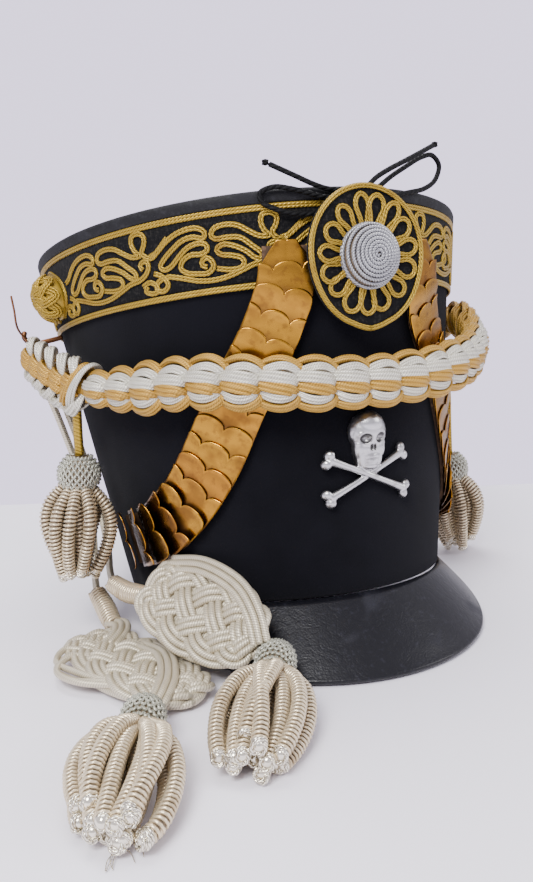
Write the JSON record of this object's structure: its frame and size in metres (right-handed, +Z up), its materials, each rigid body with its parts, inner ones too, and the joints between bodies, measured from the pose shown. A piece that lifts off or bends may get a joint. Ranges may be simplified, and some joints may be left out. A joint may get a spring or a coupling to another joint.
{
  "type": "shako hat",
  "caption": "Tall black felt shako with visor, brass chin scales, corded cockade, plaited festoon and tasselled lines.",
  "frame": {"origin": "on the floor under the middle of the cap, whose box is taken without its loose cords, flounders and tassels", "axes": "+Z up, the visor and the front of the cap towards -Y, the wearer's right towards -X"},
  "size_m": [0.3148, 0.3589, 0.2376],
  "materials": {
    "felt": "matt napped felt",
    "crown_leather": "matt, worn at the edge",
    "visor_leather": "polished, scuffed",
    "black_cloth": "matt cloth",
    "black_cord": "twisted silk",
    "strap_leather": "matt, aged",
    "gold_cord": "gilt metal thread, dulled",
    "silver_cord": "silvered metal thread, dulled",
    "brass": "polished, spotted with tarnish",
    "silver": "satin cast silver plate"
  },
  "bodies": {
    "root": {"felt_body": "felt", "crown_leather": "crown_leather", "band_cloth": "black_cloth", "band_piping_lower": "gold_cord", "band_piping_upper": "gold_cord", "visor": "visor_leather", "badge": "silver", "cockade_plate": "black_cloth", "cockade_edge_cord": "gold_cord", "cockade_petals": "gold_cord", "cockade_boss": "silver_cord", "tie_knot": "black_cord", "tie_loop_right": "black_cord", "tie_end_right": "black_cord", "tie_loop_left": "black_cord", "tie_end_left": "black_cord", "tie_tip_right": "black_cord", "tie_tip_left": "black_cord", "chin_strap_right": "strap_leather", "chin_scales_right": "brass", "chin_strap_left": "strap_leather", "chin_scales_left": "brass", "side_rosette_right": "gold_cord", "side_hook_right": "brass", "side_rosette_left": "gold_cord", "side_hook_left": "brass", "festoon_plait": "gold_cord", "tassel_cord_right": "gold_cord", "tassel_cord_left": "gold_cord", "tassel_right": "silver_cord", "tassel_left": "silver_cord", "flounder_cord_leaning": "silver_cord", "flounder_cord_flat": "silver_cord", "flounder_stem_leaning": "silver_cord", "flounder_stem_flat": "silver_cord", "flounder_leaning": "silver_cord", "flounder_flat": "silver_cord", "tassel_link_flat": "silver_cord", "tassel_leaning": "silver_cord", "tassel_flat": "silver_cord"}
  },
  "joints": []
}
